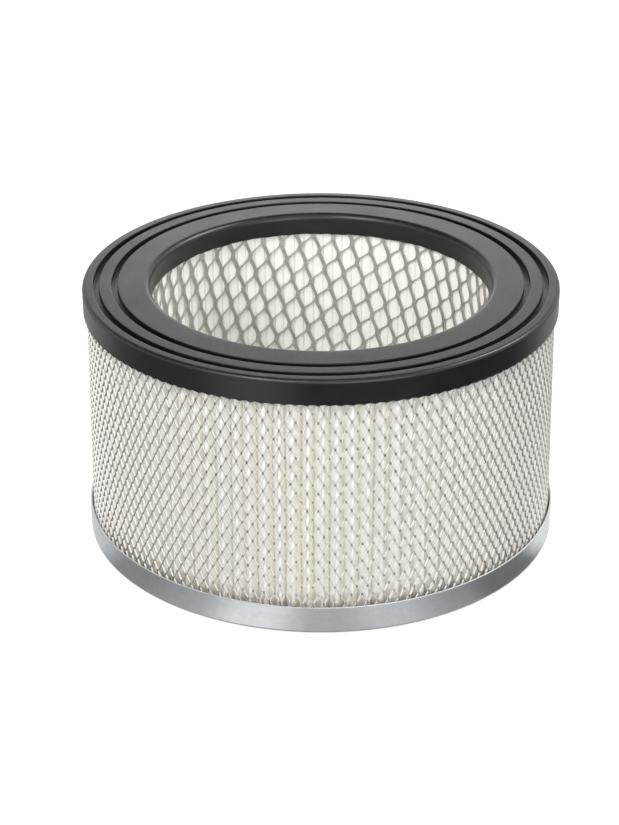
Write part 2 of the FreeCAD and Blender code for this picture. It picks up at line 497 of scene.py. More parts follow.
def folded_paper(settings, low, high):
    """Points and faces of one closed strip of paper, folded into upright pleats.

    The outer folds are crisp and meet their neighbours a little way in, and the inner folds
    are broad and meet at the core.
    """
    count = settings.count
    pitch = 2 * math.pi / count
    half = settings.thickness / 2
    room = half + settings.gap / 2
    outer = settings.outer_radius - half
    inner = settings.inner_radius + half
    swell = outer - settings.notch
    chance = np.random.default_rng(FOLD_SEED)
    stray = chance.normal(0, settings.unevenness, (count, 3)).clip(-MOST_STRAY, MOST_STRAY)
    sink = chance.uniform(0, DEEPEST_SINK, count)
    sway = chance.uniform(0, 2 * np.pi, (count, 4))
    heights = np.linspace(low, high, settings.levels + 1)
    rise = (heights - low) / (high - low)
    bend = np.linspace(-1, 1, CREST_POINTS)
    arc = np.linspace(np.pi, 0, INNER_FOLD_POINTS)
    rows = []
    for height in rise:
        drift = SWAY * np.sin(SWAY_TURNS * height * np.pi + sway)
        notches = (np.arange(count) + 0.5 + stray[:, 0] + drift[:, 0]) * pitch
        joint_shade = (np.arange(count) + stray[:, 1] + drift[:, 1]) * pitch
        line = []
        for pleat in range(count):
            left = notches[pleat - 1] - (2 * math.pi if pleat == 0 else 0) + room / swell
            right = notches[pleat] - room / swell
            middle = (left + right) / 2 + stray[pleat, 2] * pitch * CREST_STRAY
            depth = sink[pleat] * (1 + drift[pleat, 2] * SINK_SWAY)
            over = outer + settings.flare * (1 - height) - depth
            slope = math.atan2(over - swell, (right - left) / 2 * outer)
            line.append((left, swell))
            line += [(middle + settings.crest * math.sin(slope * part) / outer,
                      over - settings.crest * (1 - math.cos(slope * part))) for part in bend]
            line.append((right, swell))
            first = joint_shade[pleat] + room / inner
            last = joint_shade[(pleat + 1) % count] + (2 * math.pi if pleat == count - 1 else 0) - room / inner
            fold_half = (last - first) / 2
            line += [((first + last) / 2 + fold_half * math.cos(a),
                      inner + INNER_FOLD_DEPTH * fold_half * inner * (1 - math.sin(a))) for a in arc]
        rows.append(line)
    grid = np.array(rows)
    grid[..., 0] += settings.lean * ((grid[..., 1] - inner) / (outer - inner) - 0.5)
    flat = np.stack([grid[..., 1] * np.sin(grid[..., 0]), -grid[..., 1] * np.cos(grid[..., 0])], axis=-1)
    along = np.roll(flat, -1, axis=1) - np.roll(flat, 1, axis=1)
    along /= np.linalg.norm(along, axis=-1, keepdims=True)
    side = np.stack([along[..., 1], -along[..., 0]], axis=-1) * half
    tall = np.repeat(heights[:, None, None], flat.shape[1], axis=1)
    outside = np.concatenate([flat + side, tall], axis=-1)
    inside = np.concatenate([flat - side, tall], axis=-1)
    width = flat.shape[1]
    sheet = (settings.levels + 1) * width
    points = np.concatenate([outside.reshape(-1, 3), inside.reshape(-1, 3)]).tolist()
    faces = []
    for step in range(width):
        ahead = (step + 1) % width
        for level in range(settings.levels):
            here, above = level * width, (level + 1) * width
            faces.append((here + step, here + ahead, above + ahead, above + step))
            faces.append((sheet + here + ahead, sheet + here + step,
                          sheet + above + step, sheet + above + ahead))
        last = settings.levels * width
        faces.append((step, sheet + step, sheet + ahead, ahead))
        faces.append((last + step, last + ahead, sheet + last + ahead, sheet + last + step))
    return points, faces


# Shader node groups

def add_node(tree, kind, place, settings=None, sockets=None):
    """Node of a kind with its settings and plain socket values."""
    node = tree.nodes.new(kind)
    node.location = (place[0] * 220, place[1] * -220)
    for name, value in (settings or {}).items():
        setattr(node, name, value)
    for name, value in (sockets or {}).items():
        node.inputs[name].default_value = value
    return node


def add_math(tree, place, operation, sockets=None):
    """Math node of one operation."""
    return add_node(tree, "ShaderNodeMath", place, {"operation": operation}, sockets)


def add_vector_math(tree, place, operation, sockets=None):
    """Vector Math node of one operation."""
    return add_node(tree, "ShaderNodeVectorMath", place, {"operation": operation}, sockets)


def add_mix(tree, place, sockets=None, kind="RGBA"):
    """Mix node for colours, or for plain values."""
    return add_node(tree, "ShaderNodeMix", place, {"data_type": kind}, sockets)


def add_range(tree, place, given=(0.0, 1.0), wanted=(0.0, 1.0)):
    """Map Range node from one span of values to another."""
    return add_node(tree, "ShaderNodeMapRange", place, sockets={
        "From Min": given[0], "From Max": given[1], "To Min": wanted[0], "To Max": wanted[1]})


def join(tree, *links):
    """Links, each given as a node and its output, then the next node and its input."""
    for source, output, target, socket in links:
        tree.links.new(source.outputs[output], target.inputs[socket])


def new_group(name, inputs, outputs):
    """Empty shader node group with named sockets, and its two end nodes.

    An input is a colour where its default is one, and an output where it is named so.
    """
    group = bpy.data.node_groups.new(name, "ShaderNodeTree")
    for label, default in inputs.items():
        kind = "NodeSocketFloat" if isinstance(default, float) else "NodeSocketColor"
        group.interface.new_socket(label, in_out="INPUT", socket_type=kind).default_value = default
    for label in outputs:
        kind = "NodeSocketColor" if label == "Color" else "NodeSocketFloat"
        group.interface.new_socket(label, in_out="OUTPUT", socket_type=kind)
    return group, add_node(group, "NodeGroupInput", (0, 0)), add_node(group, "NodeGroupOutput", (8, 0))


def fine_grain():
    """Group: small even grain as a height, and slow clouds as a mask."""
    group, given, made = new_group(
        "Fine Grain", {"Density": 3000.0, "Cloud Density": 60.0}, ("Height", "Clouds"))
    place = add_node(group, "ShaderNodeTexCoord", (1, 1))
    grain = add_node(group, "ShaderNodeTexNoise", (3, 0), sockets={"Detail": 2.0, "Roughness": 0.6})
    clouds = add_node(group, "ShaderNodeTexNoise", (3, 2), sockets={"Detail": 4.0, "Roughness": 0.55})
    for texture, density in ((grain, "Density"), (clouds, "Cloud Density")):
        join(group, (place, "Object", texture, "Vector"), (given, density, texture, "Scale"))
    join(group, (grain, "Fac", made, "Height"), (clouds, "Fac", made, "Clouds"))
    return group


def zinc_bloom():
    """Group: zinc coat with crystals, rolling streaks and clouds, as colour and roughness."""
    group, given, made = new_group(
        "Zinc Bloom",
        {"Light": (0.7, 0.7, 0.7, 1), "Dark": (0.5, 0.5, 0.5, 1), "Crystal Density": 400.0,
         "Streak Density": 60.0, "Smooth": 0.30, "Rough": 0.45},
        ("Color", "Roughness", "Height"))
    place = add_node(group, "ShaderNodeTexCoord", (0, 2))
    crystals = add_node(group, "ShaderNodeTexVoronoi", (2, 0), {"feature": "SMOOTH_F1"},
                        {"Smoothness": 0.35, "Randomness": 1.0})
    squash = add_node(group, "ShaderNodeMapping", (1, 3), sockets={"Scale": (1.0, 1.0, 16.0)})
    streaks = add_node(group, "ShaderNodeTexNoise", (2, 2), sockets={"Detail": 5.0, "Roughness": 0.6})
    clouds = add_node(group, "ShaderNodeTexNoise", (2, 4), sockets={"Scale": 45.0, "Detail": 4.0})
    join(
        group, (place, "Object", crystals, "Vector"), (place, "Object", squash, "Vector"),
        (squash, "Vector", streaks, "Vector"), (place, "Object", clouds, "Vector"),
        (given, "Crystal Density", crystals, "Scale"), (given, "Streak Density", streaks, "Scale"))
    grey = add_node(group, "ShaderNodeRGBToBW", (3, 0))
    join(group, (crystals, "Color", grey, "Color"))
    first = add_mix(group, (4, 1), {"Factor": 0.6}, "FLOAT")
    join(group, (grey, "Val", first, "A"), (streaks, "Fac", first, "B"))
    second = add_mix(group, (5, 2), {"Factor": 0.45}, "FLOAT")
    join(group, (first, "Result", second, "A"), (clouds, "Fac", second, "B"))
    spread = add_range(group, (6, 1), (0.32, 0.68))
    join(group, (second, "Result", spread, "Value"))
    tint = add_mix(group, (7, 0))
    join(group, (spread, "Result", tint, "Factor"), (given, "Dark", tint, "A"), (given, "Light", tint, "B"))
    dull = add_range(group, (7, 2))
    join(
        group, (spread, "Result", dull, "Value"), (given, "Rough", dull, "To Min"),
        (given, "Smooth", dull, "To Max"), (tint, "Result", made, "Color"),
        (dull, "Result", made, "Roughness"), (second, "Result", made, "Height"))
    return group


def settled_dust():
    """Group: thin broken dust on faces that look up, as a mask."""
    group, given, made = new_group("Settled Dust", {"Amount": 0.3}, ("Mask",))
    place = add_node(group, "ShaderNodeTexCoord", (1, 0))
    split = add_node(group, "ShaderNodeSeparateXYZ", (2, 2))
    upward = add_range(group, (3, 2), (0.3, 0.95))
    specks = add_node(group, "ShaderNodeTexNoise", (2, 0), sockets={"Scale": 850.0, "Detail": 3.0})
    sparse = add_range(group, (3, 0), (0.45, 0.80))
    both = add_math(group, (4, 1), "MULTIPLY")
    scaled = add_math(group, (5, 1), "MULTIPLY")
    join(
        group, (place, "Object", specks, "Vector"), (specks, "Fac", sparse, "Value"),
        (place, "Normal", split, "Vector"), (split, "Z", upward, "Value"), (upward, "Result", both, 0),
        (sparse, "Result", both, 1), (both, "Value", scaled, 0), (given, "Amount", scaled, 1),
        (scaled, "Value", made, "Mask"))
    return group


def strand_marks():
    """Group: masks for strand edges that look up, which take dust and painted light, and for those that look
    down and the joints, which take painted shade.
    """
    group, given, made = new_group(
        "Strand Marks", {"Columns": 143.0, "Diamond Height": 0.006, "Phase": 0.0, "Row Phase": 0.0},
        ("Upper", "Lower", "Joint"))
    place = add_node(group, "ShaderNodeTexCoord", (0, 2))
    flat = add_vector_math(group, (1, 1), "MULTIPLY", {1: (1.0, 1.0, 0.0)})
    outward = add_vector_math(group, (2, 1), "NORMALIZE")
    facing = add_vector_math(group, (3, 1), "DOT_PRODUCT")
    join(
        group, (place, "Object", flat, 0), (flat, "Vector", outward, 0), (outward, "Vector", facing, 0),
        (place, "Normal", facing, 1))
    plain = add_math(group, (4, 1), "ABSOLUTE")
    edge = add_range(group, (5, 1), (0.9, 0.5))
    join(group, (facing, "Value", plain, 0), (plain, "Value", edge, "Value"))
    slope = add_node(group, "ShaderNodeSeparateXYZ", (3, 3))
    join(group, (place, "Normal", slope, "Vector"))
    # Upward edges take dust and painted light; downward edges take painted shade, at most 0.66 of it.
    for row, label, first, last, most in ((3, "Upper", 0.15, 0.42, 1.0), (4, "Lower", 0.22, -0.12, 0.66)):
        looks = add_range(group, (5, row), (first, last), (0.0, most))
        mask = add_math(group, (6, row), "MULTIPLY")
        join(
            group, (slope, "Z", looks, "Value"), (looks, "Result", mask, 0), (edge, "Result", mask, 1),
            (mask, "Value", made, label))
    # Joint mask: painted shade at each bond between strands, from a wave around and a wave along.
    spot = add_node(group, "ShaderNodeSeparateXYZ", (1, 6))
    front = add_math(group, (2, 6), "MULTIPLY", {1: -1.0})
    angle = add_math(group, (3, 6), "ARCTAN2")
    turned_by = add_math(group, (4, 6), "SUBTRACT")
    column = add_math(group, (5, 6), "MULTIPLY")
    column_wave = add_math(group, (6, 6), "COSINE")
    raised_by = add_math(group, (3, 8), "SUBTRACT")
    row = add_math(group, (4, 8), "DIVIDE")
    full_turn = add_math(group, (5, 8), "MULTIPLY", {1: 2 * math.pi})
    row_wave = add_math(group, (6, 8), "COSINE")
    both = add_math(group, (7, 6), "ADD")
    peak = add_math(group, (7, 7), "ABSOLUTE")
    painted_joint = add_range(group, (7, 8), (1.72, 1.94))
    join(
        group, (place, "Object", spot, "Vector"), (spot, "Y", front, 0), (spot, "X", angle, 0),
        (front, "Value", angle, 1), (angle, "Value", turned_by, 0), (given, "Phase", turned_by, 1),
        (turned_by, "Value", column, 0), (given, "Columns", column, 1), (column, "Value", column_wave, 0),
        (spot, "Z", raised_by, 0), (given, "Row Phase", raised_by, 1), (raised_by, "Value", row, 0),
        (given, "Diamond Height", row, 1), (row, "Value", full_turn, 0),
        (full_turn, "Value", row_wave, 0), (column_wave, "Value", both, 0), (row_wave, "Value", both, 1),
        (both, "Value", peak, 0), (peak, "Value", painted_joint, "Value"), (painted_joint, "Result", made, "Joint"))
    return group


def shared_group(make):
    """A node group that is built once and placed in every material that uses it."""
    for group in bpy.data.node_groups:
        if group.get("made_by") == make.__name__:
            return group
    group = make()
    group["made_by"] = make.__name__
    return group


# Finishes

def new_finish(name):
    """Material with its tree, its shader and no other nodes."""
    material = bpy.data.materials.new(name)
    material.use_nodes = True
    tree = material.node_tree
    tree.nodes.clear()
    shader = add_node(tree, "ShaderNodeBsdfPrincipled", (6, 0))
    end = add_node(tree, "ShaderNodeOutputMaterial", (8, 0))
    join(tree, (shader, "BSDF", end, "Surface"))
    return material, tree, shader


def place_group(tree, make, place, sockets):
    """One of the shared groups, placed in a material's tree with its own values."""
    return add_node(tree, "ShaderNodeGroup", place, {"node_tree": shared_group(make)}, sockets)


def add_bump(tree, shader, source, strength, distance):
    """Bump on a shader from a node's height."""
    bump = add_node(tree, "ShaderNodeBump", (5, 3), sockets={"Strength": strength, "Distance": distance})
    join(tree, (source, "Height", bump, "Height"), (bump, "Normal", shader, "Normal"))


def opaque(shade, factor=1.0):
    """Colour with full alpha, made lighter or darker by a factor."""
    return (*(min(1.0, channel * factor) for channel in shade), 1.0)


def dusty_finish(name, shade, lightest, density, clouds, dust, dust_shade, span, roughness, bump, depth):
    """Clouded surface with a fine grain and settled dust, rougher in its light clouds."""
    material, tree, shader = new_finish(name)
    grain = place_group(tree, fine_grain, (0, 1), {"Density": density, "Cloud Density": clouds})
    settled = place_group(tree, settled_dust, (0, 3), {"Amount": dust})
    tint = add_mix(tree, (2, 0), {"A": opaque(shade, 0.85), "B": opaque(shade, lightest)})
    dusted = add_mix(tree, (3, 0), {"B": opaque(dust_shade)})
    satin = add_range(tree, (3, 2), span, roughness)
    join(
        tree, (grain, "Clouds", tint, "Factor"), (tint, "Result", dusted, "A"),
        (settled, "Mask", dusted, "Factor"), (dusted, "Result", shader, "Base Color"),
        (grain, "Clouds", satin, "Value"), (satin, "Result", shader, "Roughness"))
    add_bump(tree, shader, grain, bump, depth)
    return material


def zinc_finish(name, shade, contrast, crystals, streaks, smooth, rough, bump, film):
    """Zinc-coated steel with crystals, streaks and clouds, and a dull film where it faces up."""
    material, tree, shader = new_finish(name)
    zinc = place_group(tree, zinc_bloom, (0, 1), {
        "Light": opaque(shade, 1 + contrast), "Dark": opaque(shade, 1 - contrast),
        "Crystal Density": crystals, "Streak Density": streaks, "Smooth": smooth, "Rough": rough})
    place = add_node(tree, "ShaderNodeTexCoord", (-1, 3))
    split = add_node(tree, "ShaderNodeSeparateXYZ", (0, 3))
    upward = add_range(tree, (1, 3), (0.3, 0.95), (0.0, film))
    bare = add_math(tree, (2, 3), "SUBTRACT", {0: 1.0})
    dull = add_mix(tree, (2, 2), {"B": 0.6}, "FLOAT")
    join(
        tree, (place, "Normal", split, "Vector"), (split, "Z", upward, "Value"),
        (upward, "Result", bare, 1), (upward, "Result", dull, "Factor"), (zinc, "Roughness", dull, "A"),
        (zinc, "Color", shader, "Base Color"), (dull, "Result", shader, "Roughness"),
        (bare, "Value", shader, "Metallic"))
    add_bump(tree, shader, zinc, bump, 0.0001)
    return material


def strand_finish(guard):
    """Bright zinc with pale dust and painted light on the upper edges, and painted shade on the joints and
    lower edges.
    """
    material, tree, shader = new_finish("dusty_bright_zinc")
    zinc = place_group(tree, zinc_bloom, (0, 1), {
        "Light": opaque(guard.shade, 1.1), "Dark": opaque(guard.shade, 0.9),
        "Crystal Density": 900.0, "Streak Density": 120.0, "Smooth": 0.42, "Rough": 0.58})
    marks = place_group(tree, strand_marks, (0, 3), {
        "Columns": float(guard.columns), "Diamond Height": guard.diamond_height,
        "Phase": guard.phase, "Row Phase": guard.row_phase})
    dusted = add_mix(tree, (2, 0), {"B": opaque(guard.dust_shade)})
    grain = place_group(tree, fine_grain, (0, 5), {"Density": 900.0, "Cloud Density": 160.0})
    uneven = add_range(tree, (1, 5), (0.35, 0.65), (0.45, 1.0))
    # Painted shade at the joints, uneven from bond to bond.
    joint_shade = add_math(tree, (2, 3), "MULTIPLY")
    join(tree, (grain, "Clouds", uneven, "Value"), (uneven, "Result", joint_shade, 1))
    dark = add_math(tree, (3, 3), "MAXIMUM")
    shaded = add_mix(tree, (4, 0), {"B": opaque(guard.under_shade)})
    # Upward edges also turn matt and less metallic, as part of their painted light.
    bare = add_range(tree, (4, 2), (0.0, 1.0), (0.7, 0.05))
    join(
        tree, (zinc, "Color", dusted, "A"), (marks, "Upper", dusted, "Factor"),
        (marks, "Joint", joint_shade, 0), (joint_shade, "Value", dark, 0), (marks, "Lower", dark, 1),
        (dusted, "Result", shaded, "A"), (dark, "Value", shaded, "Factor"),
        (shaded, "Result", shader, "Base Color"), (marks, "Upper", bare, "Value"),
        (bare, "Result", shader, "Metallic"), (zinc, "Roughness", shader, "Roughness"))
    add_bump(tree, shader, zinc, 0.05, 0.0001)
    return material


def paper_finish(pleats):
    """Matt filter paper with fibres and faint mottling, and painted shade on each second flank.

    It has painted brown shade in the valleys between the outer folds, and is browner near its lower edge.
    """
    material, tree, shader = new_finish("filter_paper")
    grain = place_group(tree, fine_grain, (0, 1), {"Density": 1500.0, "Cloud Density": 190.0})
    tint = add_mix(tree, (3, 0), {"A": opaque(pleats.fold_shade), "B": opaque(pleats.shade)})
    spread = add_range(tree, (2, 1), (0.28, 0.52))
    matt = add_range(tree, (3, 2), (0.0, 1.0), (0.85, 0.95))
    join(tree, (grain, "Clouds", spread, "Value"), (spread, "Result", tint, "Factor"))
    place = add_node(tree, "ShaderNodeTexCoord", (0, 4))
    # Painted shade: the flank that turns one way round the axis is darker and yellower.
    sideways = add_vector_math(tree, (1, 4), "CROSS_PRODUCT", {0: (0.0, 0.0, 1.0)})
    level = add_vector_math(tree, (2, 4), "NORMALIZE")
    turned_off = add_vector_math(tree, (3, 4), "DOT_PRODUCT")
    shaded_flank = add_range(tree, (4, 4), (0.2, 0.5))
    flank_shaded = add_mix(tree, (4, 0), {"B": opaque(pleats.flank_shade)})
    join(
        tree, (place, "Object", sideways, 1), (sideways, "Vector", level, 0),
        (level, "Vector", turned_off, 0), (place, "Normal", turned_off, 1),
        (turned_off, "Value", shaded_flank, "Value"), (tint, "Result", flank_shaded, "A"),
        (shaded_flank, "Result", flank_shaded, "Factor"))
    # Painted shade in the valleys where the outer folds meet, and a ragged browner band near the lower edge.
    spot = add_node(tree, "ShaderNodeSeparateXYZ", (1, 6))
    flat = add_vector_math(tree, (1, 7), "MULTIPLY", {1: (1.0, 1.0, 0.0)})
    radius = add_vector_math(tree, (2, 7), "LENGTH")
    past = add_math(tree, (3, 7), "SUBTRACT", {1: pleats.outer_radius - pleats.thickness / 2 - pleats.notch})
    off_valley = add_math(tree, (4, 7), "ABSOLUTE")
    painted_valley = add_range(tree, (5, 7), (0.0001, 0.0008), (0.5, 0.0))
    ragged = add_math(tree, (2, 6), "MULTIPLY_ADD", {1: 0.004})
    low_edge = add_range(tree, (4, 6), (pan_high.z + 0.0062, pan_high.z + 0.0018), (0.0, 0.6))
    brown = add_math(tree, (5, 6), "MAXIMUM")
    browned = add_mix(tree, (5, 0), {"B": opaque(pleats.valley_shade)})
    join(
        tree, (place, "Object", spot, "Vector"), (place, "Object", flat, 0), (flat, "Vector", radius, 0),
        (radius, "Value", past, 0), (past, "Value", off_valley, 0),
        (off_valley, "Value", painted_valley, "Value"), (grain, "Clouds", ragged, 0), (spot, "Z", ragged, 2),
        (ragged, "Value", low_edge, "Value"), (painted_valley, "Result", brown, 0), (low_edge, "Result", brown, 1),
        (flank_shaded, "Result", browned, "A"), (brown, "Value", browned, "Factor"),
        (browned, "Result", shader, "Base Color"), (grain, "Height", matt, "Value"),
        (matt, "Result", shader, "Roughness"))
    add_bump(tree, shader, grain, 0.45, 0.00015)
    shader.inputs["Specular IOR Level"].default_value = 0.2
    return material


# Operators

class CARTRIDGE_OT_seal_cap(bpy.types.Operator):
    """Build the grooved seal cap with its scalloped skirt"""
    bl_idname = "cartridge.seal_cap"
    bl_label = "Seal Cap"

    def execute(self, context):
        cap = context.scene.cartridge.cap
        guard = context.scene.cartridge.guard
        skirt_bottom = cap.top - cap.skirt_height
        wall_bottom = cap.top - cap.bore_wall_height
        ceiling = cap.top - cap.web
        floor = cap.top - cap.groove_depth
        first_out = cap.outer_radius - cap.rim_width
        first_in = first_out - cap.groove_width
        second_out = first_in - cap.ring_width
        second_in = second_out - cap.groove_width
        channel_out = cap.outer_radius - cap.skirt_wall
        channel_in = cap.bore_radius + cap.bore_wall
        crisp, skirt_edge, wall_edge, hair = 0.00022, 0.00035, 0.0002, 0.0001
        corners = [
            (cap.outer_radius, skirt_bottom, skirt_edge, 3),
            (cap.outer_radius, cap.top, cap.edge_radius, 8),
        ]
        for outside, inside in ((first_out, first_in), (second_out, second_in)):
            corners += [
                (outside, cap.top, crisp, 3),
                (outside, floor, crisp, 2),
                (inside, floor, crisp, 2),
                (inside, cap.top, crisp, 3),
            ]
        corners += [
            (cap.bore_radius, cap.top, cap.lip_radius, 10),
            (cap.bore_radius, wall_bottom, wall_edge, 2),
            (channel_in, wall_bottom, 0, 0),
            (channel_in, ceiling, 0, 0),
            (channel_out, ceiling, 0, 0),
            (channel_out, skirt_bottom, 0, 0),
        ]
        skirt_reach, wall_reach = 0.0022, 0.002
        arch_power, arch_drop, ragged_share = 0.8, 1.1, 0.4

        def ripple(angle, radius, height):
            cycle = (angle - guard.phase) * guard.columns / 2
            arch = np.abs(np.sin(cycle)) ** arch_power - arch_drop
            near_skirt = np.clip(1 - (height - skirt_bottom) / skirt_reach, 0, 1)
            near_wall = np.clip(1 - (height - wall_bottom) / wall_reach, 0, 1)
            skirt = (radius > channel_out - hair) * near_skirt
            wall = (radius < channel_in + hair) * near_wall
            ragged = waves(angle, CAP_EDGE_SEED, (5, 17, 41, 90), (0.0001, 0.00008, 0.00007, 0.00005))
            return 0 * radius, skirt * (cap.scallop * arch + ragged_share * ragged) + wall * ragged

        segments = guard.columns * cap.segments_per_scallop
        points, faces = turned(rounded(corners), segments, closed=True, ripple=ripple)
        finish = dusty_finish(
            "satin_black_moulding", cap.shade, lightest=1.2, density=2600.0, clouds=70.0, dust=0.05,
            dust_shade=(0.33, 0.32, 0.30), span=(0.3, 0.7), roughness=(0.30, 0.38), bump=0.35, depth=0.0001)
        add_piece("seal_cap", points, faces, finish, "top_seal_cap", 40)
        return {"FINISHED"}


class CARTRIDGE_OT_outer_guard(bpy.types.Operator):
    """Build the fine expanded-metal cylinder around the pleats"""
    bl_idname = "cartridge.outer_guard"
    bl_label = "Outer Guard"

    def execute(self, context):
        guard = context.scene.cartridge.guard
        low, high = guard_low.z, guard_high.z
        mean = (guard.top_radius + guard.bottom_radius) / 2
        taper = (guard.top_radius - guard.bottom_radius) / (high - low)
        run = math.pi * mean / guard.columns
        fall = guard.diamond_height / 2
        points, faces = expanded_metal(
            guard, closure=(guard.columns, guard.columns), falls=(-fall, fall), runs=(run, run),
            radius_at=lambda height: guard.bottom_radius + taper * (height - low) - abs(guard.tilt) / 2,
            mean_radius=mean, waist=guard.bond / 8, shares=(1.0, 1.0), bends=1, sweep=0.0,
            low=low, high=high, stray=0.00006)
        points, faces = trimmed(points, faces, low, high)
        finish = strand_finish(guard)
        add_piece("expanded_guard", points, faces, finish, "outer_guard", 25)
        return {"FINISHED"}


class CARTRIDGE_OT_pleats(bpy.types.Operator):
    """Build the ring of folded paper"""
    bl_idname = "cartridge.pleats"
    bl_label = "Pleated Paper"

    def execute(self, context):
        pleats = context.scene.cartridge.pleats
        points, faces = folded_paper(pleats, media_low.z, media_high.z)
        finish = paper_finish(pleats)
        add_piece("pleated_paper", points, faces, finish, "pleated_media", 30)
        return {"FINISHED"}


class CARTRIDGE_OT_inner_core(bpy.types.Operator):
    """Build the coarse expanded-metal cylinder inside the pleats"""
    bl_idname = "cartridge.inner_core"
    bl_label = "Inner Core"

    def execute(self, context):
        core = context.scene.cartridge.core
        low, high = core_low.z, core_high.z
        rise = core.fall * core.steps_down / core.steps_up
        around_way = 2 * math.pi * core.radius
        rising_run = (around_way - core.steps_down * core.run) / core.steps_up
        points, faces = expanded_metal(
            core, closure=(core.steps_down, core.steps_up), falls=(-core.fall, rise),
            runs=(core.run, rising_run),
            radius_at=lambda height: core.radius - abs(core.tilt) / 2 + 0 * height,
            mean_radius=core.radius, waist=core.bond / 2.6, shares=(core.rising_share, core.falling_share),
            bends=3, sweep=0.3, low=low, high=high, stray=0.00022)
        points, faces = trimmed(points, faces, low, high)
        finish = zinc_finish(
            "dull_zinc", core.shade, contrast=0.16, crystals=700.0, streaks=90.0, smooth=0.38, rough=0.55,
            bump=0.08, film=0.0)
        add_piece("expanded_core", points, faces, finish, "inner_core", 38)
        return {"FINISHED"}


class CARTRIDGE_OT_bottom_pan(bpy.types.Operator):
    """Build the pressed galvanised pan"""
    bl_idname = "cartridge.bottom_pan"
    bl_label = "Bottom Pan"

    def execute(self, context):
        pan = context.scene.cartridge.pan
        outside = pan.radius - 2 * pan.waviness
        inside = outside - pan.sheet
        bend = pan.bend - pan.sheet
        hub, middle, flat_end = 0.004, 0.04, outside - 0.006
        outer_edge, inner_edge = 0.00012, 0.00018
        crown_height, crown_margin, rim_margin = 0.0003, 0.004, 0.002
        corners = [
            (hub, 0.0, 0, 0),
            (middle, 0.0, 0, 0),
            (flat_end, 0.0, 0, 0),
            (outside, 0.0, pan.bend, 6),
            (outside, pan.height, outer_edge, 2),
            (inside, pan.height, inner_edge, 2),
            (inside, pan.sheet, bend, 4),
            (flat_end, pan.sheet, 0, 0),
            (middle, pan.sheet, 0, 0),
            (hub, pan.sheet, 0, 0),
        ]

        def ripple(angle, radius, height):
            wave = waves(angle, RIM_SEED, (2, 3, 5, 8, 13), (0.5, 0.4, 0.3, 0.25, 0.2)) * pan.waviness
            rim = (radius > inside - rim_margin) * height / pan.height
            crown = crown_height * np.clip(1 - radius / (outside - crown_margin), 0, 1) ** 0.5
            return wave * rim, crown

        points, faces = turned(rounded(corners), segments=288, closed=False, ripple=ripple)
        finish = zinc_finish(
            "galvanised_sheet", pan.shade, contrast=0.09, crystals=620.0, streaks=55.0, smooth=0.26,
            rough=0.40, bump=0.06, film=0.7)
        add_piece("pressed_pan", points, faces, finish, "bottom_pan", 40)
        return {"FINISHED"}


class CARTRIDGE_OT_adhesive_bed(bpy.types.Operator):
    """Build the ring of adhesive that the paper and both cylinders stand in"""
    bl_idname = "cartridge.adhesive_bed"
    bl_label = "Adhesive Bed"

    def execute(self, context):
        bed = context.scene.cartridge.bed
        low = bed_low.z
        underside = low + 0.0004
        under_guard, middle, under_core, run_start = 0.079, 0.068, 0.059, 0.0575
        outer_edge, inner_edge, lower_edge = 0.0006, 0.0012, 0.0003
        run_reach, run_drop, still_height = 0.004, 0.0003, 0.001
        corners = [
            (bed.outer_radius, underside, 0, 0),
            (bed.outer_radius, bed.top, outer_edge, 4),
            *((radius, bed.top, 0, 0) for radius in (under_guard, middle, under_core, run_start)),
            (bed.inner_radius, bed.top, inner_edge, 6),
            (bed.inner_radius, underside, lower_edge, 2),
            (middle, underside, 0, 0),
        ]

        def ripple(angle, radius, height):
            edge = np.clip(1 - (radius - bed.inner_radius) / run_reach, 0, 1)
            run = waves(
                angle, BED_EDGE_SEED, (3, 7, 12, 19, 31), (0.0003, 0.00025, 0.0002, 0.00015, 0.0001))
            swell = waves(angle, BED_TOP_SEED, (4, 9, 15, 26), (0.00008, 0.00008, 0.00006, 0.00004))
            return edge * (run + run_drop), -np.abs(swell) * (height > low + still_height)

        points, faces = turned(rounded(corners), segments=240, closed=True, ripple=ripple)
        finish = dusty_finish(
            "cured_adhesive", bed.shade, lightest=1.1, density=900.0, clouds=110.0, dust=0.35,
            dust_shade=(0.60, 0.57, 0.50), span=(0.0, 1.0), roughness=(0.35, 0.6), bump=0.5, depth=0.0003)
        add_piece("adhesive_bed", points, faces, finish, "bottom_potting", 45)
        return {"FINISHED"}


